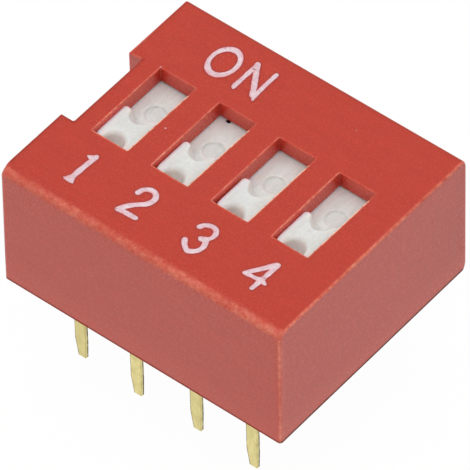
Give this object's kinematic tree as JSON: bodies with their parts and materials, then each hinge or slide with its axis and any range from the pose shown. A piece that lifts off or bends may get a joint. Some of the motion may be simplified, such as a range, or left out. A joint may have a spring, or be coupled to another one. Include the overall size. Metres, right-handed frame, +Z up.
{
  "type": "dip switch",
  "caption": "Recessed slide switch block in a dual in-line case: numbered white sliders in windows of a red cover, with gold-plated pins in two rows.",
  "frame": {"origin": "middle of the two rows of pins, on the seating plane at the rim of the cover", "axes": "+X along the row of switches away from the notched end, +Y towards the ON side, +Z up out of the windows"},
  "size_m": [0.0118, 0.0098, 0.0089],
  "materials": {
    "cover_plastic": "red moulded plastic, fine-grained and faintly glossy at the edges, with white printed ON and digits",
    "slider_plastic": "white moulded plastic, smooth and softly glossy",
    "base_plastic": "black glass-filled moulding",
    "seal_resin": "dark potting resin, level and glossy",
    "contact_plating": "gold-plated spring strip",
    "terminal_plating": "pale gold plating on stamped strip"
  },
  "bodies": {
    "case": {"cover": "cover_plastic", "base": "base_plastic", "seal": "seal_resin", "terminal_1": "terminal_plating", "terminal_2": "terminal_plating", "terminal_3": "terminal_plating", "terminal_4": "terminal_plating", "terminal_5": "terminal_plating", "terminal_6": "terminal_plating", "terminal_7": "terminal_plating", "terminal_8": "terminal_plating"},
    "switch_1": {"slider_1": "slider_plastic", "moving_contact_1": "contact_plating"},
    "switch_2": {"slider_2": "slider_plastic", "moving_contact_2": "contact_plating"},
    "switch_3": {"slider_3": "slider_plastic", "moving_contact_3": "contact_plating"},
    "switch_4": {"slider_4": "slider_plastic", "moving_contact_4": "contact_plating"}
  },
  "joints": [
    {"name": "slide_1", "type": "slide", "parent": "case", "child": "switch_1", "axis": [0, 1, 0], "range_m": [0, 0.00181]},
    {"name": "slide_2", "type": "slide", "parent": "case", "child": "switch_2", "axis": [0, 1, 0], "range_m": [0, 0.00181]},
    {"name": "slide_3", "type": "slide", "parent": "case", "child": "switch_3", "axis": [0, 1, 0], "range_m": [0, 0.00181]},
    {"name": "slide_4", "type": "slide", "parent": "case", "child": "switch_4", "axis": [0, 1, 0], "range_m": [0, 0.00181]}
  ]
}
